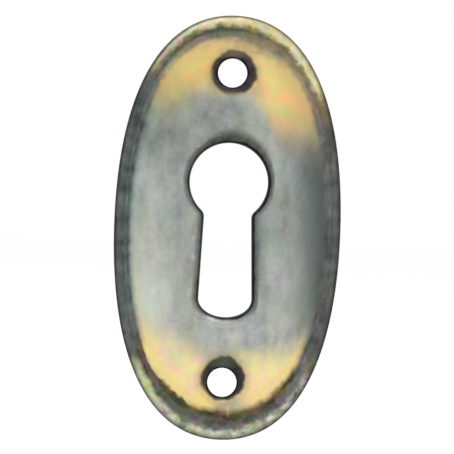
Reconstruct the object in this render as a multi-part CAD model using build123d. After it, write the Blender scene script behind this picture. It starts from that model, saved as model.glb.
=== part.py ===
from build123d import *
import math
import os

# Oval keyhole escutcheon, pressed from one piece of sheet brass. Sizes are in millimetres.
# It is drawn lying on its back, front upwards, and stood upright at the end:
# the long axis along Z, the back in the plane Y = 0 and the front facing -Y.

# The plate and its sheet
plate_width = 25.4
plate_height = 47.6
oval_fullness = 0.635       # handle length of each quarter of the oval; a true ellipse has 0.552
sheet = 0.9
crown_height = 2.5          # middle of the crowned panel above the back
shoulder_height = 1.15      # edge of the panel above the back

# The border: a straight edge, a rounded bead and a hollow groove
edge_height = 0.55
bead_width = 1.1
bead_height = 1.0
groove_side = 1.3           # from the bead's crest to the panel, at the sides
groove_end = 2.3            # the same at the two ends
groove_height = 0.72        # metal left under the groove

# The keyhole: a round bow above a slot that widens towards its rounded foot
bow_radius = 4.37
bow_centre = 5.1            # above the middle of the plate
neck_width = 5.25
neck_round = 1.0
foot_width = 5.94
foot_bottom = 10.0          # below the middle of the plate
foot_depth = 2.1            # height of the rounded foot
lip_round = 0.75

# The two fixing holes, each at the bottom of a pressed dish
hole_inset = 6.46           # from each end of the oval to the middle of its hole
hole_radius = 1.64
dish_radius = 2.45
dish_clearance = 0.15       # from the back of the dish to the wood behind the plate
dish_round = 0.3

# The hollow back
back_rim = 2.4              # flat of the border that bears on the wood, at the sides
back_draft = 0.7            # how far the hollow's wall leans in, at the sides

# How finely the curved sections are stepped
bead_steps = 4
groove_steps = 8
crown_steps = 6
crown_flat = 0.12           # share of the panel left level in the middle, inside the keyhole
circle_handle = 0.5523      # handle length that makes a quarter of an ellipse
neck_tolerance = 0.001      # for finding the keyhole's two neck corners

half_width = plate_width / 2
half_height = plate_height / 2
hole_spacing = plate_height - 2 * hole_inset
bead_crest = bead_width / 2
panel_half_width = half_width - bead_crest - groove_side
panel_half_height = half_height - bead_crest - groove_end


def oval(side, end):
    """The plate's oval with these distances from its middle to its side and to its end."""
    quarters = []
    for across, along in ((1, 1), (-1, 1), (-1, -1), (1, -1)):
        x, y = across * side, along * end
        quarters.append(Bezier((x, 0), (x, oval_fullness * y), (oval_fullness * x, y), (0, y)))
    return make_face(Wire(quarters))


def inset_oval(side_inset, end_inset, height):
    """The outline drawn in at its sides and ends, raised to a height."""
    return Pos(0, 0, height) * oval(half_width - side_inset, half_height - end_inset)


def panel_height(share):
    """Height of the crowned front at a share of the way from the middle to the panel's edge."""
    return crown_height - (crown_height - shoulder_height) * share ** 2


def panel_oval(share, drop):
    """Oval at a share of the panel's size, lying a drop below the crowned front."""
    return Pos(0, 0, panel_height(share) - drop) * oval(share * panel_half_width, share * panel_half_height)


def edges_above(floor, before, after):
    """New edges of a cut that lie wholly above a floor height."""
    return [edge for edge in new_edges(before, combined=after) if edge.bounding_box().min.Z > floor]


def crowned(first_share, drop):
    """Cap under the crowned surface, from a share of the panel's size inwards, lowered by a drop."""
    step_share = (first_share - crown_flat) / crown_steps
    shares = [first_share - step_share * step for step in range(crown_steps + 1)]
    return loft([panel_oval(share, drop) for share in shares], ruled=True)


# Border: the outer quarter of the bead, then a wave down into the groove and up to the panel's shoulder
border_sections = []
for step in range(bead_steps + 1):
    turn = math.pi / 2 * step / bead_steps
    inset = bead_crest * (1 - math.cos(turn))
    level = edge_height + (bead_height - edge_height) * math.sin(turn)
    border_sections.append(inset_oval(inset, inset, level))
for step in range(1, groove_steps + 1):
    across = step / groove_steps
    bank = bead_height if across < 0.5 else shoulder_height
    level = groove_height + (bank - groove_height) * math.cos(math.pi * across) ** 2
    side_inset = bead_crest + groove_side * across
    end_inset = bead_crest + groove_end * across
    border_sections.append(inset_oval(side_inset, end_inset, level))

blank = extrude(oval(half_width, half_height), edge_height)
plate = blank + loft(border_sections, ruled=True) + crowned(1, 0)

# Hollow back: a drafted wall up to a roof that lies one sheet below the crowned front
mouth = inset_oval(back_rim, back_rim + groove_end - groove_side, 0)
roof_share = (half_width - back_rim - back_draft) / panel_half_width
plate -= loft([mouth, panel_oval(roof_share, sheet)]) + crowned(roof_share, sheet)

# Dishes: the same cone stands out behind the sheet and is pressed down into its front, round a plain hole
hole_level = panel_height(hole_spacing / 2 / panel_half_height)
dish_depth = hole_level - sheet - dish_clearance
dish_slope = (dish_radius - hole_radius) / dish_depth
dish_reach = sheet / 2


def dish(bottom):
    """Cone of a dish that stands on a bottom height and reaches past the sheet's face."""
    mouth_radius = dish_radius + dish_slope * dish_reach
    upright = (Align.CENTER, Align.CENTER, Align.MIN)
    return Pos(0, 0, bottom) * Cone(hole_radius, mouth_radius, dish_depth + dish_reach, align=upright)


for end in (1, -1):
    place = Pos(0, end * hole_spacing / 2, 0)
    plate += place * dish(dish_clearance)
    pressed = plate - place * dish(dish_clearance + sheet)
    dish_mouth = edges_above(hole_level - sheet / 2, plate, pressed)
    plate = fillet(dish_mouth, dish_round) - place * Cylinder(hole_radius, 2 * crown_height)

# Keyhole outline: half of the bow, one side of the slot and half of the foot, mirrored
neck = neck_width / 2
neck_level = bow_centre - math.sqrt(bow_radius ** 2 - neck ** 2)
foot = foot_width / 2
foot_level = foot_depth - foot_bottom
foot_handle = Vector(foot - neck, foot_level - neck_level).normalized() * circle_handle * foot_depth
bow_arc = ThreePointArc((0, bow_centre + bow_radius), (bow_radius, bow_centre), (neck, neck_level))
slot_side = Line((neck, neck_level), (foot, foot_level))
foot_start = Vector(foot, foot_level)
foot_end = Vector(0, -foot_bottom)
end_handle = Vector(circle_handle * foot, 0)
foot_curve = Bezier(foot_start, foot_start + foot_handle, foot_end + end_handle, foot_end)
right_half = bow_arc + slot_side + foot_curve
keyhole = make_face(right_half + mirror(right_half, about=Plane.YZ))
neck_corners = [corner for corner in keyhole.vertices() if abs(corner.Y - neck_level) < neck_tolerance]
keyhole = fillet(neck_corners, neck_round)

# Keyhole through the panel, with its front edge rolled over into a soft lip
pierced = plate - extrude(keyhole, 2 * crown_height)
lip_floor = panel_height(foot_bottom / panel_half_height) - sheet / 2
plate = fillet(edges_above(lip_floor, plate, pierced), lip_round)

os.makedirs("parts", exist_ok=True)
export_step(Plane.XZ * plate, "parts/escutcheon_plate.step")
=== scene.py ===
import math

import bmesh
import bpy
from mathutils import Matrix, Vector


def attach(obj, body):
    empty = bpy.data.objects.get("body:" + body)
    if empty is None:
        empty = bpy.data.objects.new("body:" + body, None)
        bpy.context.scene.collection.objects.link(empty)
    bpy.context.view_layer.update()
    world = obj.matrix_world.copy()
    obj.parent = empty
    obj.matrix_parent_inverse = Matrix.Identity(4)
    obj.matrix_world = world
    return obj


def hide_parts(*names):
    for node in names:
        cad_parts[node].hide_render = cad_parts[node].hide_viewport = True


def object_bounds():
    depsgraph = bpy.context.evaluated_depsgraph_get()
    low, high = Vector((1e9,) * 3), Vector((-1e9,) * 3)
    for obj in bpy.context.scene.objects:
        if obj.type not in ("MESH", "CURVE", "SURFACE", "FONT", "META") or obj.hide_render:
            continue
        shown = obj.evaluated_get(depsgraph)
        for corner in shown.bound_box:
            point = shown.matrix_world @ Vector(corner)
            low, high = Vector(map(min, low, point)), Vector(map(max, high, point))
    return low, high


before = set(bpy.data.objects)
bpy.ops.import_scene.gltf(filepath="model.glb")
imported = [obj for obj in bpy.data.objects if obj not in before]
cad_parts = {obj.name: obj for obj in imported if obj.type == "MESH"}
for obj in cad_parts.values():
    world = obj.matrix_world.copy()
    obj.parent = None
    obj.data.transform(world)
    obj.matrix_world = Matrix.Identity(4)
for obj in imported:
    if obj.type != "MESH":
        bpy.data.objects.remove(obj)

cad_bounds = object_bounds()

# Plate
# One piece of sheet brass, blanked and drawn in a press, so the crowned panel, groove and bead are one
# skin that is hollow behind. Two pins through its dished holes fix it round a lock's key opening.
# It is drawn in millimetres and scaled to metres at the end.
millimetre = 0.001
half_width = 12.7
half_height = 23.8
oval_fullness = 0.635       # handle length of each quarter of the oval
sheet = 0.9
crown_height = 2.5          # middle of the panel, in front of the back
shoulder_height = 1.15      # edge of the panel
edge_height = 0.55
bead_crest = 0.55           # crest of the bead, in from the outline
bead_height = 1.0
groove_side = 1.3           # crest of the bead to the panel, at the sides
groove_end = 2.3            # the same at the ends
groove_height = 0.72
back_rim = 2.4              # flat of the border that bears on the wood, at the sides
back_draft = 0.7            # how far the hollow's wall leans in, at the sides
panel_side = half_width - bead_crest - groove_side
panel_end = half_height - bead_crest - groove_end
mouth_side = half_width - back_rim
mouth_end = half_height - back_rim - groove_end + groove_side

steps_round = 256           # points round each ring of the skin
quarter_steps = steps_round // 4
half_steps = steps_round // 2
halvings = 24               # of the search for a point's place round the outline
web_share = 0.6             # oval of the panel inside which the rings close on the keyhole
panel_mark = 3              # border attribute at the panel's edge: 0 edge, 1 bead's crest, 2 groove
sharp_angle = math.radians(50)


def bezier(t, start, first, second, finish):
    """Point of a cubic curve."""
    rest = 1 - t
    return rest ** 3 * start + 3 * rest ** 2 * t * first + 3 * rest * t ** 2 * second + t ** 3 * finish


def oval_point(turn):
    """Point of the outline after some quarter turns, as shares of its half width and half height."""
    quarter, t = divmod(turn, 1)
    handles = Vector((1, oval_fullness)), Vector((oval_fullness, 1))
    point = bezier(t, Vector((1, 0)), *handles, Vector((0, 1)))
    for _ in range(int(quarter)):
        point = Vector((-point.y, point.x))
    return point


outline = [oval_point(step / quarter_steps) for step in range(steps_round)]


def oval_ring(side, end, height):
    """Ring of points on an oval that lies a height in front of the back."""
    return [Vector((side * share.x, -height, end * share.y)) for share in outline]


def panel_height(share):
    """Height of the crowned front at a share of the way from the middle to the panel's edge."""
    return crown_height - (crown_height - shoulder_height) * share ** 2


def panel_ring(share, drop):
    """Ring on the crowned front, or a drop behind it."""
    return oval_ring(share * panel_side, share * panel_end, panel_height(share) - drop)


def panel_share(x, z):
    """Share of the way from the middle to the panel's edge at a point of the panel."""
    spot = Vector((abs(x) / panel_side, abs(z) / panel_end))
    low, high = 0.0, 1.0
    for _ in range(halvings):
        middle = (low + high) / 2
        edge = oval_point(middle)
        if edge.y * spot.x < spot.y * edge.x:
            low = middle
        else:
            high = middle
    return spot.length / oval_point(low).length


def crown(x, z):
    """Height of the crowned front over a point of the panel."""
    return panel_height(panel_share(x, z))


# Keyhole outline: bow, rounded neck, side and foot of its right half, then evenly spaced points all round
bow_radius = 4.37
bow_centre = Vector((0, 5.1))
neck_half = 2.625
neck_round = 1.0
foot_half = 2.97
foot_bottom = 10.0
foot_depth = 2.1
circle_handle = 0.5523      # handle length that makes a quarter of an ellipse
lip_round = 0.75
bow_steps = 120
neck_steps = 24
foot_steps = 60

neck = Vector((neck_half, bow_centre.y - math.sqrt(bow_radius ** 2 - neck_half ** 2)))
foot = Vector((foot_half, foot_depth - foot_bottom))
down = (foot - neck).normalized()
outwards = Vector((-down.y, down.x))
reach = neck + outwards * neck_round - bow_centre
reach_down = reach.dot(down)
slide = math.sqrt(reach_down ** 2 - reach.dot(reach) + (bow_radius + neck_round) ** 2) - reach_down
round_centre = bow_centre + reach + slide * down
bow_end = math.atan2(round_centre.y - bow_centre.y, round_centre.x)
round_end = math.atan2(-outwards.y, -outwards.x)


def arc(centre, radius, start, finish, count):
    """Points on an arc, by angles from the horizontal."""
    angles = [start + (finish - start) * step / count for step in range(count + 1)]
    return [centre + radius * Vector((math.cos(angle), math.sin(angle))) for angle in angles]


path = arc(bow_centre, bow_radius, math.pi / 2, bow_end, bow_steps)
path += arc(round_centre, neck_round, bow_end + math.pi, round_end + 2 * math.pi, neck_steps)
tip = Vector((0, -foot_bottom))
foot_handles = foot + down * circle_handle * foot_depth, tip + Vector((circle_handle * foot_half, 0))
path += [bezier(step / foot_steps, foot, *foot_handles, tip) for step in range(foot_steps + 1)]

spans = [(after - before).length for before, after in zip(path, path[1:])]
half_outline = [path[0]]
span, passed = 0, 0.0
for step in range(1, half_steps):
    wanted = sum(spans) * step / half_steps
    while passed + spans[span] < wanted:
        passed += spans[span]
        span += 1
    half_outline.append(path[span].lerp(path[span + 1], (wanted - passed) / spans[span]))
half_outline.append(tip)

keyhole = [None] * steps_round
for step, point in enumerate(half_outline):
    keyhole[(quarter_steps + step) % steps_round] = Vector((-point.x, point.y))
    keyhole[(quarter_steps - step) % steps_round] = point


def keyhole_ring(gap, drop):
    """Ring a gap outside the keyhole's outline, a drop behind the front at the lip's outer edge."""
    ring = []
    for step, point in enumerate(keyhole):
        along = (keyhole[(step + 1) % steps_round] - keyhole[step - 1]).normalized()
        away = Vector((along.y, -along.x))
        rim = point + away * lip_round
        spot = point + away * gap
        ring.append(Vector((spot.x, drop - crown(rim.x, rim.y), spot.y)))
    return ring


def web_ring(share, gap, drop):
    """Ring part of the way from the keyhole to the oval inside which the rings close on it."""
    ring = []
    for inner, outer in zip(keyhole_ring(gap, drop), panel_ring(web_share, drop)):
        spot = inner.lerp(outer, share)
        ring.append(Vector((spot.x, drop - crown(spot.x, spot.z), spot.z)))
    return ring


# The skin, ring by ring: keyhole's back edge, hollow back, rim, edge, bead, groove, panel, keyhole's lip.
# With each ring's points go its border attribute, or none where it follows from the place on the panel,
# its keyhole attribute, and 1 on the back or 0 on the front.
web_steps = 6
web_width = 3.0             # keyhole attribute's growth across the web
roof_steps = 8
wall_steps = 7
bead_steps = 10
groove_steps = 20
crown_steps = 16
lip_steps = 8
far_off = 9.0               # keyhole attribute away from the keyhole

roof_share = (mouth_side - back_draft) / panel_side
mouth = oval_ring(mouth_side, mouth_end, 0)
roof_edge = panel_ring(roof_share, sheet)
roof_mark = panel_mark + (1 - roof_share) * panel_side

rings = [(keyhole_ring(0, sheet), None, 0, 1)]
for step in range(1, web_steps):
    rings.append((web_ring(step / web_steps, 0, sheet), None, web_width * step / web_steps, 1))
back_first = len(rings)
for step in range(roof_steps + 1):
    share = web_share + (roof_share - web_share) * step / roof_steps
    rings.append((panel_ring(share, sheet), None, far_off, 1))
for step in range(1, wall_steps + 1):
    share = 1 - step / wall_steps
    wall = [low.lerp(high, share) for high, low in zip(roof_edge, mouth)]
    rings.append((wall, panel_mark + (roof_mark - panel_mark) * share, far_off, 1))
rings.append((oval_ring(half_width, half_height, 0), 0, far_off, 1))
for step in range(bead_steps + 1):
    turn = math.pi / 2 * step / bead_steps
    inset = bead_crest * (1 - math.cos(turn))
    height = edge_height + (bead_height - edge_height) * math.sin(turn)
    bead = oval_ring(half_width - inset, half_height - inset, height)
    rings.append((bead, step / bead_steps, far_off, 0))
for step in range(1, groove_steps + 1):
    across = step / groove_steps
    bank = bead_height if across < 0.5 else shoulder_height
    height = groove_height + (bank - groove_height) * math.cos(math.pi * across) ** 2
    ring_side = half_width - bead_crest - groove_side * across
    ring_end = half_height - bead_crest - groove_end * across
    rings.append((oval_ring(ring_side, ring_end, height), 1 + 2 * across, far_off, 0))
front_first = len(rings) - 1
for step in range(1, crown_steps + 1):
    share = 1 - (1 - web_share) * step / crown_steps
    rings.append((panel_ring(share, 0), None, far_off, 0))
for step in range(1, web_steps):
    share = 1 - step / web_steps
    rings.append((web_ring(share, lip_round, 0), None, lip_round + web_width * share, 0))
for step in range(lip_steps + 1):
    turn = math.pi / 2 * step / lip_steps
    gap = lip_round * (1 - math.sin(turn))
    rings.append((keyhole_ring(gap, lip_round * (1 - math.cos(turn))), None, gap, 0))

skin = bmesh.new()
place = skin.verts.layers.int.new("place")
station = skin.verts.layers.int.new("station")
border_layer = skin.verts.layers.float.new("border")
keyhole_layer = skin.verts.layers.float.new("keyhole")
back_layer = skin.verts.layers.float.new("back")


def settle(verts, ring, number):
    """Puts the points of a new ring in place and writes down where on the plate they are."""
    points, mark, gap, side = ring
    for vert in verts:
        vert.co = points[vert[place]]
        vert[station] = number
        if mark is None:
            vert[border_layer] = panel_mark + (1 - panel_share(vert.co.x, vert.co.z)) * panel_side
        else:
            vert[border_layer] = mark
        vert[keyhole_layer] = gap
        vert[back_layer] = side


def draw_rings(loops, first_number):
    """Draws a skin through closed rings of points and returns the edges of its two open ends."""
    circle = bmesh.ops.create_circle(skin, segments=len(loops[0][0]), radius=1)["verts"]
    for step, vert in enumerate(circle):
        vert[place] = step
    settle(circle, loops[0], first_number)
    first_rim = list(dict.fromkeys(edge for vert in circle for edge in vert.link_edges))
    rim = first_rim
    for number, ring in enumerate(loops[1:], first_number + 1):
        grown = bmesh.ops.extrude_edge_only(skin, edges=rim)["geom"]
        settle([piece for piece in grown if isinstance(piece, bmesh.types.BMVert)], ring, number)
        rim = [piece for piece in grown if isinstance(piece, bmesh.types.BMEdge) and piece.is_boundary]
    return first_rim, rim


wall_back, wall_front = draw_rings(rings, 0)
bmesh.ops.bridge_loops(skin, edges=wall_back + wall_front)

# Fixing holes: a block of the skin is taken out front and back, and a dish with its hole is drawn between
hole_level = 17.34          # middles of the holes above and below the middle of the plate
hole_radius = 1.64
dish_radius = 2.45
dish_clearance = 0.15       # from the back of the dish to the wood
dish_soft = 0.25            # depth over which the dish blends into the skin
dish_front = 2.95           # radius of the dish's last ring on the front
dish_back = 2.75            # the same on the back
dish_steps = 10
block_columns = 12          # to each side of the hole
block_rings = 12
front_block = front_first + 1
back_block = back_first + 2
hole_points = 4 * block_columns + 2 * block_rings
dish_depth = panel_height(hole_level / panel_end) - sheet - dish_clearance
dish_slope = (dish_radius - hole_radius) / dish_depth


def soft_lower(one, other):
    """The lower of two heights, blended where they are close."""
    return min(one, other) - max(dish_soft - abs(one - other), 0) ** 2 / (4 * dish_soft)


def back_height(x, z):
    """Height of the hollow back near the ends: its roof, or its drafted wall."""
    wall_top = roof_share * panel_end
    wall_height = panel_height(roof_share) - sheet
    return min(crown(x, z) - sheet, wall_height * (mouth_end - abs(z)) / (mouth_end - wall_top))


def dish_ring(end, radius, bottom, surface, side):
    """Ring of a dish that is pressed into a surface, down to a bottom height at the hole."""
    points = []
    for step in range(hole_points):
        turn = 2 * math.pi * step / hole_points
        x = radius * math.cos(turn)
        z = end * hole_level + radius * math.sin(turn)
        cone = bottom + (radius - hole_radius) / dish_slope
        points.append(Vector((x, -soft_lower(surface(x, z), cone), z)))
    return points, None, far_off, side


def take_out(first, middle):
    """Takes a block of faces out of the skin and returns the edges round the opening."""
    def within(vert):
        aside = (vert[place] - middle + half_steps) % steps_round - half_steps
        return first <= vert[station] <= first + block_rings and abs(aside) <= block_columns
    block = {face for face in skin.faces if all(within(vert) for vert in face.verts)}
    opening = [edge for edge in skin.edges if len(block.intersection(edge.link_faces)) == 1]
    bmesh.ops.delete(skin, geom=list(block), context="FACES")
    return opening


for end, middle in ((1, quarter_steps), (-1, 3 * quarter_steps)):
    front_opening = take_out(front_block, middle)
    back_opening = take_out(back_block, middle)
    dish = []
    for step in range(dish_steps + 1):
        radius = dish_front + (hole_radius - dish_front) * step / dish_steps
        dish.append(dish_ring(end, radius, dish_clearance + sheet, crown, 0))
    for step in range(dish_steps + 1):
        radius = hole_radius + (dish_back - hole_radius) * step / dish_steps
        dish.append(dish_ring(end, radius, dish_clearance, back_height, 1))
    front_rim, back_rim_edges = draw_rings(dish, len(rings))
    bmesh.ops.bridge_loops(skin, edges=front_opening + front_rim)
    bmesh.ops.bridge_loops(skin, edges=back_opening + back_rim_edges)

bmesh.ops.scale(skin, vec=(millimetre, millimetre, millimetre), verts=skin.verts)
bmesh.ops.recalc_face_normals(skin, faces=skin.faces)
for face in skin.faces:
    face.smooth = True
plate_mesh = bpy.data.meshes.new("escutcheon_plate_skin")
skin.to_mesh(plate_mesh)
skin.free()
plate_mesh.set_sharp_from_angle(angle=sharp_angle)
plate = bpy.data.objects.new("escutcheon_plate_skin", plate_mesh)
bpy.context.scene.collection.objects.link(plate)
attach(plate, "root")
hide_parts("escutcheon_plate")


# Antique brass
# Yellow plating rubbed bright at the two ends, grey-green tarnish over the middle, and dark in the
# groove, the dishes and at the keyhole's lip, partly tarnish where polish doesn't reach and partly
# painted shade.
class Term:
    """A number, vector or colour that shader nodes work out, so that patterns read as sums."""

    def __init__(self, tree, socket):
        self.tree = tree
        self.socket = socket

    def node(self, kind, settings, inputs, output=0):
        """Adds a node of any kind and returns one of its outputs."""
        made = self.tree.nodes.new(kind)
        for name, value in settings.items():
            setattr(made, name, value)
        for name, value in inputs.items():
            if isinstance(value, Term):
                self.tree.links.new(value.socket, made.inputs[name])
            else:
                made.inputs[name].default_value = value
        return Term(self.tree, made.outputs[output])

    def math(self, operation, *values):
        """Adds a node that reckons with its values."""
        return self.node("ShaderNodeMath", {"operation": operation}, dict(enumerate(values)))

    def __add__(self, other):
        return self.math("ADD", self, other)

    def __sub__(self, other):
        return self.math("SUBTRACT", self, other)

    def __rsub__(self, other):
        return self.math("SUBTRACT", other, self)

    def __mul__(self, other):
        return self.math("MULTIPLY", self, other)

    def __truediv__(self, other):
        return self.math("DIVIDE", self, other)

    def __abs__(self):
        return self.math("ABSOLUTE", self)

    __radd__ = __add__
    __rmul__ = __mul__

    def rise(self, start, finish):
        """0 up to start, 1 from finish on, smooth between; falls where start is above finish."""
        inputs = {"Value": self, "From Min": start, "From Max": finish}
        return self.node("ShaderNodeMapRange", {"interpolation_type": "SMOOTHSTEP"}, inputs)

    def mix(self, one, other):
        """One colour where this is 0, the other where it is 1."""
        return self.node("ShaderNodeMix", {"data_type": "RGBA"}, {0: self, 6: one, 7: other}, 2)

    def tint(self, colour, red, green, blue):
        """A colour whose red, green and blue are multiplied where this is 1."""
        settings = {"data_type": "RGBA", "blend_type": "MULTIPLY"}
        return self.node("ShaderNodeMix", settings, {0: self, 6: colour, 7: (red, green, blue, 1)}, 2)


def display(red, green, blue):
    """A colour written as it looks on a screen, 0 to 255, as the light it gives."""
    def light(level):
        level /= 255
        return level / 12.92 if level <= 0.04045 else ((level + 0.055) / 1.055) ** 2.4
    return light(red), light(green), light(blue), 1.0


brass = bpy.data.materials.new("antique_brass")
brass.use_nodes = True
brass_tree = brass.node_tree
finish_node = brass_tree.nodes["Principled BSDF"]
brass_nodes = Term(brass_tree, None)

# Where a point is: u and v are millimetres to the right of the plate's middle and above it, border and
# from_keyhole tell how far it is across the border and from the keyhole, and back is 1 on the back
object_point = brass_nodes.node("ShaderNodeTexCoord", {}, {}, "Object")
in_millimetres = {0: object_point, "Scale": 1 / millimetre}
surface_point = brass_nodes.node("ShaderNodeVectorMath", {"operation": "SCALE"}, in_millimetres)
u = brass_nodes.node("ShaderNodeSeparateXYZ", {}, {0: surface_point}, "X")
v = brass_nodes.node("ShaderNodeSeparateXYZ", {}, {0: surface_point}, "Z")
border, from_keyhole, back = [
    brass_nodes.node("ShaderNodeAttribute", {"attribute_name": name}, {}, "Fac")
    for name in ("border", "keyhole", "back")
]
left_of_middle = u.math("MINIMUM", u, 0)


def noise(size, detail, seed, vector=surface_point):
    """Cloudy noise about 0, between -0.5 and 0.5, whose clouds are about a size across in millimetres."""
    shift = {0: vector, 1: (seed, seed, seed)}
    moved = brass_nodes.node("ShaderNodeVectorMath", {"operation": "ADD"}, shift)
    inputs = {"Vector": moved, "Scale": 1 / size, "Detail": detail}
    return brass_nodes.node("ShaderNodeTexNoise", {}, inputs) - 0.5


def near(value, middle, width):
    """1 where a value is at a middle, fading to 0 a width away from it."""
    return abs(value - middle).rise(width, 0)


# Clouds that several patterns share; those on drawn points are stretched along the plate
drawn_out = (1, 1, 0.45)
drawn = brass_nodes.node("ShaderNodeMapping", {}, {"Vector": surface_point, "Scale": drawn_out})
wander = noise(3.0, 3, 0) * 3.0 + noise(0.8, 1, 7) * 1.4 + noise(0.9, 2, 9, drawn) * 1.6
grain = noise(0.45, 3, 5)
blotch = noise(1.3, 3, 23, drawn)
clouds = noise(1.1, 4, 31) * 2.2 + grain * 0.8 + 0.5
patches = noise(1.8, 2, 33) * 2.8 + grain * 0.5 + 0.5

# Tarnish of the middle: grey-green clouds, with painted light making it palest at the lower left and
# painted shade making it darker on the right and round the keyhole; darker also at the top
tarnish_and_shade = display(80, 88, 86)
tarnish_and_light = display(212, 216, 208)
pale_green = display(188, 196, 170)
pale_straw = display(212, 213, 178)

tone = 0.52 - (u + v * 0.07).rise(5.0, 11.2) * 0.5 + v.rise(2, -11) * u.rise(-3, -8) * 0.42
tone = tone - v.rise(4, 11) * u.rise(5, -1) * 0.27 - from_keyhole.rise(3.0, 0.6) * 0.08
tone = tone + v.rise(-1, -7) * u.rise(3, 6) * 0.09 + v.rise(-9.5, -12) * 0.08
tone = tone - border.rise(5.5, 3.0) * u.rise(5, 8) * near(v, -6.5, 5) * 0.12
tone = tone - near(u, -5.6, 2.6) * v.rise(10, 7) * 0.1 - near(u, 4.2, 1.4) * abs(v).rise(12, 9) * 0.06
tone = tone + near(u, -4.8, 1.2) * near(v, 5.5, 4) * 0.09 + near(u, -8.2, 1.8) * near(v, -1, 4) * 0.1
tone = tone - near(u, 6.2, 2) * near(v, 2.5, 5) * 0.12 - near(u, 6.9, 2.2) * near(v, -12, 2.2) * 0.13
tone = tone - near(u, 3.7, 1.8) * near(v, 11.3, 1.8) * 0.13 + near(u, -3, 2) * near(v, 10.2, 2) * 0.1
tone = tone + (blotch * 0.5 + grain * 0.2) * (u.rise(11, 6) + v.rise(-8, -12) * 0.6)
colour = tone.mix(tarnish_and_shade, tarnish_and_light)
# Painted light on the left: pale green along the edge lower down, a teal tint higher up, pale straw at
# the lower left
left_edge = u.rise(-6, -9) * border.rise(4.8, 3.6)
colour = (left_edge * v.rise(1, -6) * 0.5).mix(colour, pale_green)
colour = (left_edge * v.rise(-4, 2) * 0.5).tint(colour, 0.88, 1.03, 1.02)
colour = (v.rise(-4, -11) * u.rise(-4, -9) * 0.35).mix(colour, pale_straw)

# Gold ends, with peach and yellow clouds and a greenish fringe. A reach is millimetres past the edge of
# the gold. The top is browner at the left and along the panel's edge, the bottom bare under its hole.
top_yellow = display(212, 196, 126)
top_peach = display(234, 184, 124)
top_brown = display(164, 148, 122)
top_edge_gold = display(190, 166, 114)
top_fringe = display(164, 160, 126)
top_left_fringe = display(146, 145, 108)
top_right_fringe = display(142, 134, 116)
low_yellow = display(250, 234, 164)
low_peach = display(254, 212, 186)
low_edge_gold = display(244, 220, 132)
low_bare = display(186, 175, 154)
low_fringe = display(190, 190, 156)

top_reach = v - 16.3 - near(u, 0, 3.5) * 0.8 + near(u, -7.4, 3) * 1.5
top_reach = top_reach + u.rise(1.1, 6.4) * 5.0 + wander * 0.7
low_reach = left_of_middle * left_of_middle * 0.031 - v - 14.1 - near(u, 0, 6) * 0.8
low_reach = low_reach + u.rise(6.8, 8.6) + wander * 0.7
peach = noise(2.0, 3, 11) * 4.5 + grain * 1.2 + 0.4
top_gold = (peach + v.rise(17, 13) * u.rise(0, 4) * 0.4).mix(top_yellow, top_peach)
top_gold = u.rise(1, -4).tint(top_gold, 0.835, 0.8, 0.68)
top_gold = (u.rise(-0.5, -3) * v.rise(19, 20.5)).tint(top_gold, 0.8, 0.87, 1.05)
top_gold = u.rise(-4.5, -8).tint(top_gold, 0.8, 0.85, 0.92)
top_gold = (u.rise(4.5, 6.5) * v.rise(14.5, 12.5)).tint(top_gold, 0.78, 0.9, 1.05)
top_gold = (near(u, 2.6, 2) * near(v, 15.5, 2) * 0.6).mix(top_gold, top_brown)
top_gold = (border.rise(4.8, 3.1) * 0.65).mix(top_gold, top_edge_gold)
low_gold = peach.mix(low_yellow, low_peach)
low_gold = (border.rise(4.3, 3.4) * 0.6).mix(low_gold, low_edge_gold)
low_gold = (near(u, -5.2, 2.4) * near(v, -14.7, 2)).tint(low_gold, 0.8, 0.93, 1.06)
low_gold = (near(u, 1.1, 2.8) * near(v, -19.9, 1.4) * 0.85).mix(low_gold, low_bare)
colour = (top_reach.rise(-3.4, -0.6) * 0.45).mix(colour, top_fringe)
colour = (top_reach.rise(-5.0, -1.6) * u.rise(-3, -5.5) * 0.5).mix(colour, top_left_fringe)
colour = (top_reach.rise(-5.5, -1.5) * u.rise(4, 7) * 0.4).mix(colour, top_right_fringe)
colour = (low_reach.rise(-2.2, -0.4) * 0.45).mix(colour, low_fringe)
colour = top_reach.rise(-2.6, 1.6).mix(colour, top_gold)
colour = low_reach.rise(-1.9, 1.9).mix(colour, low_gold)

# Border: dark tarnish and painted shade all round, warmer at the top end
dark_slate = display(68, 76, 74)
pale_slate = display(106, 111, 109)
dark_umber = display(104, 102, 82)
pale_umber = display(144, 130, 104)
dark_top_groove = display(72, 82, 68)
pale_top_groove = display(118, 102, 84)
right_top_groove = display(136, 119, 92)
middle_top_groove = display(74, 82, 70)

jagged_border = border + noise(1.0, 3, 41) * 0.9
top_end = (v + u * 0.14 + u.rise(6, 11) * 1.6 - 15.6 + wander * 0.5).rise(-1.5, 1.5)
low_end = (v + 14.2 - u * 0.08 + wander * 0.4).rise(1.4, -1.4)
line_end = (v + 13.2 + (u - left_of_middle) * 0.3 + wander * 0.4).rise(1.2, -1.2)
drift = u.rise(6.5, 9.5) * 0.35 + near(u, -8.3, 1.8) * 0.35
narrower = top_end * (abs(u).rise(3, 9) * 0.3 + u.rise(0, -4) * 0.3) - u.rise(-5, -9) * 0.05
narrower = narrower + line_end * drift - top_end * near(u, 3, 6) * 0.25
narrower = narrower + near(u, -8.5, 2.5) * v.rise(11, 14) * 0.3
# The dark band is tarnish in the groove and painted shade, narrower at the top end
dark_border = (border + narrower + noise(1.2, 2, 47) * (top_end * 0.3 + 0.5)).rise(3.5, 2.5)
mossy = near(u, 9.5, 3) * near(v, -11.5, 4) + near(u, -9.5, 3) * near(v, 12.5, 4)
border_colour = patches.mix(dark_slate, pale_slate)
border_colour = u.rise(4, 9).tint(border_colour, 1.06, 0.99, 0.98)
border_colour = mossy.tint(border_colour, 0.97, 1.0, 0.88)
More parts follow.
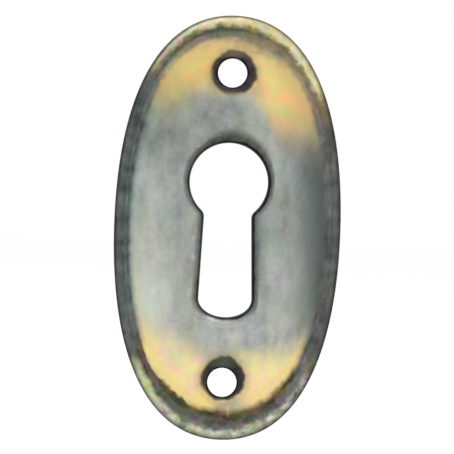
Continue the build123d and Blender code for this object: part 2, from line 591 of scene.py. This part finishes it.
# Painted highlight on the border at the upper right
border_colour = (near(u, 10.8, 2) * near(v, 10.7, 3)).tint(border_colour, 1.45, 1.3, 1.2)
border_colour = (top_end * 0.8).mix(border_colour, clouds.mix(dark_umber, pale_umber))
colour = dark_border.mix(colour, border_colour)
top_groove = clouds.mix(dark_top_groove, pale_top_groove)
top_groove = (u.rise(4, 8) * 0.6).mix(top_groove, right_top_groove)
top_groove = (near(u, -0.5, 5) * 0.6).mix(top_groove, middle_top_groove)
colour = (top_end * (jagged_border + narrower).rise(3.0, 2.0)).mix(colour, top_groove)

# Low end of the border: a brown line with plum and moss stretches parts the gold from the groove. After
# it come the groove's walls, painted lighter down both sides of the plate to offset their shade.
dark_brown = display(36, 30, 18)
pale_brown = display(118, 98, 56)
tan = display(138, 120, 80)
plum = display(92, 74, 86)
moss = display(58, 72, 44)
dark_low_groove = display(56, 65, 56)
pale_low_groove = display(120, 116, 108)
rubbed_low_groove = display(128, 124, 116)

line_place = border + noise(1.2, 2, 43) * 0.7 + drift - near(u, -1, 5) * 0.19 - near(u, -5.8, 1.8) * 0.15
soft = u.rise(-5, 1) * 0.16
brown_line = line_end * line_place.rise(soft + 3.2, 2.95 - soft) * line_place.rise(1.5, 2.1)
hue = noise(2.4, 2, 53) + near(u, -3, 2) * 0.12 - near(u, -5.9, 2) * 0.12
hued = u.rise(2, -3) * 0.5 + 0.25
brown = clouds.mix(dark_brown, pale_brown)
brown = ((near(u, 3, 3) + near(u, -3, 2)) * 0.5).mix(brown, tan)
brown = (hue.rise(0.0, 0.12) * hued).mix(brown, plum)
brown = (hue.rise(0.0, -0.12) * hued).mix(brown, moss)
colour = brown_line.mix(colour, brown)
low_groove = clouds.mix(dark_low_groove, pale_low_groove)
low_groove = ((near(u, -3.4, 2.8) + near(u, 8.2, 2)) * 0.5).mix(low_groove, rubbed_low_groove)
groove_place = line_place + near(u, -9.2, 2) * 0.45 - near(u, 0, 6) * 0.1
colour = (low_end * groove_place.rise(2.6, 2.2)).mix(colour, low_groove)
colour = (low_end * dark_border * near(u, -5.5, 3)).tint(colour, 0.9, 1.08, 0.98)
# Painted light on the groove's walls down the sides, offsetting their shade
uneven = border + noise(1.3, 2, 55) * 0.5
walls = near(uneven, 2.42, 0.45) + near(uneven, 1.5, 0.3) * 0.3
colour = (walls * abs(u).rise(3, 10)).tint(colour, 1.95, 1.95, 1.95)

# Bead, bright at the two ends, partly rubbed brass and partly painted light: cream and yellow with an
# olive seam and a painted highlight along the crest at the top, paler at the bottom, and painted shade
# along its outer edge away from the bright ends
top_bead_yellow = display(190, 178, 112)
top_bead_cream = display(226, 216, 166)
top_bead_fawn = display(196, 182, 160)
top_bead_foot = display(104, 96, 78)
top_bead_shine = display(244, 238, 208)
olive = display(146, 132, 52)
low_bead_grey = display(94, 98, 92)
low_bead_cream = display(228, 228, 204)
low_bead_straw = display(218, 212, 162)
low_bead_white = display(206, 206, 204)
low_bead_foot = display(100, 102, 94)
edge_shade_colour = display(38, 40, 39)

bead_up = border.rise(0.15, 1.1)
top_bead = (v + u * 0.13 - 16.3 + wander * 0.5).rise(-1.6, 1.6) * (1 - u.rise(-2, -9) * 0.45)
bead_reach = jagged_border - u.rise(-2, 4) * 0.2
seam = near(bead_reach, 1.45, 0.35) * noise(1.2, 2, 45).rise(-0.08, 0.1)
top_bead_colour = clouds.mix(top_bead_yellow, top_bead_cream)
top_bead_colour = (u.rise(-1, -6) * 0.6).mix(top_bead_colour, top_bead_fawn)
top_bead_colour = bead_up.mix(top_bead_foot, top_bead_colour)
top_bead_colour = near(u, 2.4, 5).tint(top_bead_colour, 0.76, 0.76, 0.8)
top_bead_colour = near(u, -1.8, 2).tint(top_bead_colour, 0.95, 0.9, 0.74)
# Painted highlight along the crest of the top bead
top_bead_colour = (near(bead_reach, 1.05, 0.4) * 0.5).mix(top_bead_colour, top_bead_shine)
top_bead_colour = (seam * 0.85).mix(top_bead_colour, olive)
colour = (top_bead * bead_reach.rise(1.75, 1.3)).mix(colour, top_bead_colour)
low_bead = (v + 16.2 + left_of_middle * 0.07 + u.rise(0, 8) * 0.6 + wander * 0.6).rise(1.5, -1.5)
low_bead = low_bead * (1 - u.rise(2, 8) * 0.15)
low_bead_colour = clouds.mix(low_bead_grey, low_bead_cream)
low_bead_colour = (u.rise(-4, -9) * 0.6).mix(low_bead_colour, low_bead_straw)
low_bead_colour = (near(u, -1, 2.6) * 0.5).mix(low_bead_colour, low_bead_white)
low_bead_colour = bead_up.mix(low_bead_foot, low_bead_colour)
colour = (low_bead * (jagged_border - u.rise(-4, -9) * 0.3).rise(1.75, 1.0)).mix(colour, low_bead_colour)
# Painted shade along the outer edge away from the bright bead, and a darker painted line at the outline
off_bright_bead = 1 - top_bead * 0.7 - low_bead * 0.4
edge_shade = (border + noise(1.5, 2, 49) * 1.2).rise(1.3, 0.2) * (off_bright_bead - top_bead * 0.3 - low_bead * 0.3)
colour = (edge_shade * (0.5 - near(u, -10, 3) * v.rise(2, -5) * 0.3)).mix(colour, edge_shade_colour)
colour = (jagged_border.rise(0.75, 0.25) * off_bright_bead).mix(colour, edge_shade_colour)

# Blushes of pink, green, yellow and blue in the tarnish: each cloud tints one way where it is dense and
# the other way where it is thin
everywhere = border.rise(3.4, 2.8) * (0.6 - top_bead * 0.6) + 0.4
both_ends = dark_border * (low_end + top_end)
low_and_top_left = dark_border * (low_end + top_end * u.rise(1, -4))
for cloud, start, finish, amount, dense_tint, thin_tint in (
    (noise(1.5, 2, 27, drawn), 0.02, 0.22, everywhere, (1.12, 0.94, 1.08), (0.88, 1.05, 0.98)),
    (noise(1.8, 2, 51), 0.0, 0.18, low_and_top_left, (1.15, 0.88, 1.15), (0.8, 1.07, 0.95)),
    (noise(1.4, 2, 59), 0.0, 0.16, both_ends, (1.03, 1.0, 0.76), (0.95, 0.98, 1.14)),
    (noise(1.7, 2, 57, drawn), 0.02, 0.22, 1, (1.02, 1.0, 0.9), (0.97, 1.0, 1.06)),
):
    colour = (cloud.rise(start, finish) * amount).tint(colour, *dense_tint)
    colour = (cloud.rise(-start, -finish) * amount).tint(colour, *thin_tint)

# Dishes: dark tarnish in them, its rings set a little up and right off the holes as painted shade on the
# dishes' upper walls, with an olive fringe and a painted shade round them, painted black shade at the
# holes' edges, and a scratch below the lower one
ring_teal = display(14, 34, 36)
ring_plum = display(68, 48, 54)
ring_fringe = display(88, 76, 26)
ring_shade = display(104, 102, 88)
upper_brown = display(126, 110, 98)
upper_grey = display(92, 98, 86)
black = display(8, 10, 9)
scratched = display(222, 208, 170)

ragged = noise(1.3, 3, 61) * 0.8
dark_ring = (noise(0.9, 2, 63) * 5.0 + 0.5).mix(ring_teal, ring_plum)
chipped = noise(1.1, 2, 65) * 0.3
dished = 0
hole_edge = 0
hole_distances = []
for level, right_shift, lift, upper_colour in (
    (hole_level, 0.2, 0.02, upper_brown),
    (-hole_level, 0.1, 0.48, upper_grey),
):
    above = v - level
    # Each ring is moved up and to the right: painted shade on the dish's upper wall
    ring_aside = u - right_shift
    ring_above = above - lift
    from_ring = brass_nodes.math("SQRT", ring_aside * ring_aside + ring_above * ring_above) + ragged
    from_hole = brass_nodes.math("SQRT", u * u + above * above)
    hole_distances.append(from_hole)
    ring_colour = (near(u, 0, 2.4) * above.rise(1.5, 1.9) * 0.8).mix(dark_ring, upper_colour)
    ring_colour = from_ring.rise(2.1, 2.6).mix(ring_colour, ring_fringe)
    colour = (from_ring.rise(3.6, 2.2) * 0.45).mix(colour, ring_shade)
    ring = from_ring.rise(2.7, 2.3)
    colour = ring.mix(colour, ring_colour)
    dished = ring + dished
    hole_edge = (from_hole + chipped).rise(1.9, 1.7) + hole_edge
# Black at the holes' edges: painted shade
colour = hole_edge.mix(colour, black)
scratch = near(u - v * 0.02, 1.2, 0.14) * near(v, -20.4, 1.1)
colour = (scratch * 0.5).mix(colour, scratched)

# Keyhole's lip: a painted dark line of shade at its edge and a painted soft shade round it, broad and
# even over the bow and thin under the foot, with small painted glints down the left and one below the
# foot
dark_shade = display(40, 48, 46)
pale_shade = display(82, 83, 70)
soft_black = display(32, 34, 33)
glint = display(200, 204, 198)
foot_glint = display(208, 210, 206)

bow_top = v.rise(6.5, 9.6) * u.rise(-3.6, -0.4)
lip_right = u.rise(-1, 2)
lip_flat = lip_right * 0.15 + bow_top * 0.45
lip_wide = 0.85 + lip_right * 0.15 + bow_top * 0.35 - v.rise(-9.4, -10.2) * 0.45
lip_gap = from_keyhole + noise(1.4, 3, 71) * (bow_top * 0.6 + 0.5)
shade = ((lip_gap - lip_flat) / lip_wide).rise(1.3, 0.1)
shade_colour = noise(0.9, 3, 77).rise(-0.16, 0.16).mix(dark_shade, pale_shade)
colour = (shade * 0.82).mix(colour, shade_colour)
lip_line = (from_keyhole + noise(1.1, 2, 73) * 0.3 - lip_right * 0.12).rise(0.35, 0.12)
lip_line_colour = (lip_right + bow_top).mix(soft_black, black)
colour = (lip_line * 0.9).mix(colour, lip_line_colour)
glinting = near(lip_gap, 1.0, 0.4) * noise(0.9, 2, 75).rise(0.04, 0.2) * u.rise(0, -2)
colour = (glinting * 0.35).mix(colour, glint)
foot_glinting = near(from_keyhole, 1.2, 0.8) * v.rise(-10.2, -10.6)
colour = (foot_glinting * 0.35).mix(colour, foot_glint)

# The back, never polished: brown oxide in the hollow, brass rubbed along the rim and round the holes,
# dark corners and a few spots of verdigris
dark_oxide = display(92, 88, 72)
pale_oxide = display(140, 126, 96)
dull_brass = display(126, 114, 84)
bright_brass = display(186, 166, 116)
corner_darkening = display(58, 55, 44)
verdigris = display(112, 138, 116)
back_edge = display(70, 66, 52)

oxide = noise(5.0, 3, 81) * 2.0 + blotch * 1.2 + grain * 0.6 + 0.5
hollow = oxide.mix(dark_oxide, pale_oxide)
rubbed = (clouds * 0.8 + noise(0.5, 2, 83, drawn)).mix(dull_brass, bright_brass)
back_rub = border.rise(3.0, 2.7) + from_keyhole.rise(1.0, 0.2)
corner = near(border, roof_mark, 0.5) + near(border, panel_mark, 0.25) * 0.7
rub_edge = noise(0.8, 2, 85) * 0.3
for from_hole in hole_distances:
    back_rub = back_rub + (from_hole + rub_edge).rise(2.2, 1.8)
    corner = corner + near(from_hole, dish_back, 0.6)
# Darker in the hollow's corners and round the dishes
hollow = (corner * 0.75).mix(hollow, corner_darkening)
green_spots = noise(1.1, 3, 87).rise(0.16, 0.26) * border.rise(2.8, 3.4)
hollow = (green_spots * 0.5).mix(hollow, verdigris)
back_colour = (back_rub * 0.8).mix(hollow, rubbed)
back_colour = border.rise(0.25, 0.1).mix(back_colour, back_edge)
colour = back.mix(colour, back_colour)

# Metal and roughness, and a faint relief of the worn surface
relief_strength = 0.15
relief_depth = 0.00005      # metres
metallic = 0.78 - dished * 0.4 + hole_edge * 0.6 + lip_line * 0.2 - back * 0.25
roughness = noise(1.2, 4, 91) * 0.3 + 0.45 + back * 0.1
relief = noise(0.35, 4, 95) * 0.5 + noise(2.0, 2, 97)
bump_inputs = {"Strength": relief_strength, "Distance": relief_depth, "Height": relief}
bump = brass_nodes.node("ShaderNodeBump", {}, bump_inputs, "Normal")
brass_tree.links.new(colour.socket, finish_node.inputs["Base Color"])
brass_tree.links.new(metallic.socket, finish_node.inputs["Metallic"])
brass_tree.links.new(roughness.socket, finish_node.inputs["Roughness"])
brass_tree.links.new(bump.socket, finish_node.inputs["Normal"])
plate_mesh.materials.append(brass)

# Stage
# Pale floor under the plate's lower end, soft studio light from above and a white background.
# The floor and the background glow white where they are seen, and the floor keeps the plate's shadow.
floor_level = cad_bounds[0][2]
floor_reach = 4
floor_colour = (0.8, 0.8, 0.8, 1)
shadow_colour = (0.2, 0.2, 0.2, 1)
white = (1, 1, 1, 1)
floor_glow = 0.95
ambient = 0.2

floor_shape = bmesh.new()
bmesh.ops.create_grid(floor_shape, x_segments=1, y_segments=1, size=floor_reach)
bmesh.ops.translate(floor_shape, vec=(0, 0, floor_level), verts=floor_shape.verts)
floor_mesh = bpy.data.meshes.new("floor")
floor_shape.to_mesh(floor_mesh)
floor_shape.free()
floor = bpy.data.objects.new("floor", floor_mesh)
bpy.context.scene.collection.objects.link(floor)


def seen(tree):
    """1 on rays from the camera, off metal and through glass, which see the white background."""
    nodes = Term(tree, None)
    outputs = ("Is Camera Ray", "Is Glossy Ray", "Is Transmission Ray")
    direct, mirrored, through = [nodes.node("ShaderNodeLightPath", {}, {}, output) for output in outputs]
    return nodes.math("MINIMUM", direct + mirrored + through, 1)


pale = bpy.data.materials.new("floor_white")
pale.use_nodes = True
floor_tree = pale.node_tree
floor_nodes = Term(floor_tree, None)
matt = floor_nodes.node("ShaderNodeBsdfDiffuse", {}, {"Color": floor_colour})
shadow = floor_nodes.node("ShaderNodeBsdfDiffuse", {}, {"Color": shadow_colour})
glow = floor_nodes.node("ShaderNodeEmission", {}, {"Color": white, "Strength": floor_glow})
seen_floor = floor_nodes.node("ShaderNodeAddShader", {}, {0: shadow, 1: glow})
floor_mix = {0: seen(floor_tree), 1: matt, 2: seen_floor}
floor_surface = floor_nodes.node("ShaderNodeMixShader", {}, floor_mix)
floor_tree.links.new(floor_surface.socket, floor_tree.nodes["Material Output"].inputs["Surface"])
floor_tree.nodes.remove(floor_tree.nodes["Principled BSDF"])
floor_mesh.materials.append(pale)

world = bpy.data.worlds.new("studio")
bpy.context.scene.world = world
world.use_nodes = True
background = world.node_tree.nodes["Background"]
brightness = seen(world.node_tree) * (1 - ambient) + ambient
world.node_tree.links.new(brightness.socket, background.inputs["Strength"])
background.inputs["Color"].default_value = white

for name, position, size, power in (
    ("key", (0.1, -0.3, 0.5), 0.4, 0.9),
    ("fill", (-0.1, -0.6, 0.35), 0.5, 0.9),
    ("back", (-0.25, 0.5, 0.4), 0.4, 1.4),
):
    lamp = bpy.data.lights.new(name, "AREA")
    lamp.size = size
    lamp.energy = power
    light = bpy.data.objects.new(name, lamp)
    light.location = position
    light.rotation_euler = (-Vector(position)).to_track_quat("-Z", "Y").to_euler()
    bpy.context.scene.collection.objects.link(light)

# Camera
# Straight on, rolled a little because the plate leans to the right in the picture.
picture_width = 454
sensor_width = 36
lens = 200
pixels_per_mm = 8.916
scale_plane = 0.5           # millimetres in front of the back, where that scale holds
lens_right = -0.25          # shift of the lens, in pixels
lens_up = 0.7
lean = 2.0                  # degrees

distance = lens / sensor_width * picture_width / pixels_per_mm * millimetre
camera = bpy.data.objects.new("camera", bpy.data.cameras.new("camera"))
camera.data.lens = lens
camera.data.sensor_width = sensor_width
camera.data.shift_x = lens_right / picture_width
camera.data.shift_y = lens_up / picture_width
camera.data.clip_start = 0.01
camera.location = (0, -distance - scale_plane * millimetre, 0)
camera.rotation_euler = (math.pi / 2, math.radians(-lean), 0)
bpy.context.scene.collection.objects.link(camera)
bpy.context.scene.camera = camera
bpy.context.scene.view_settings.view_transform = "Standard"
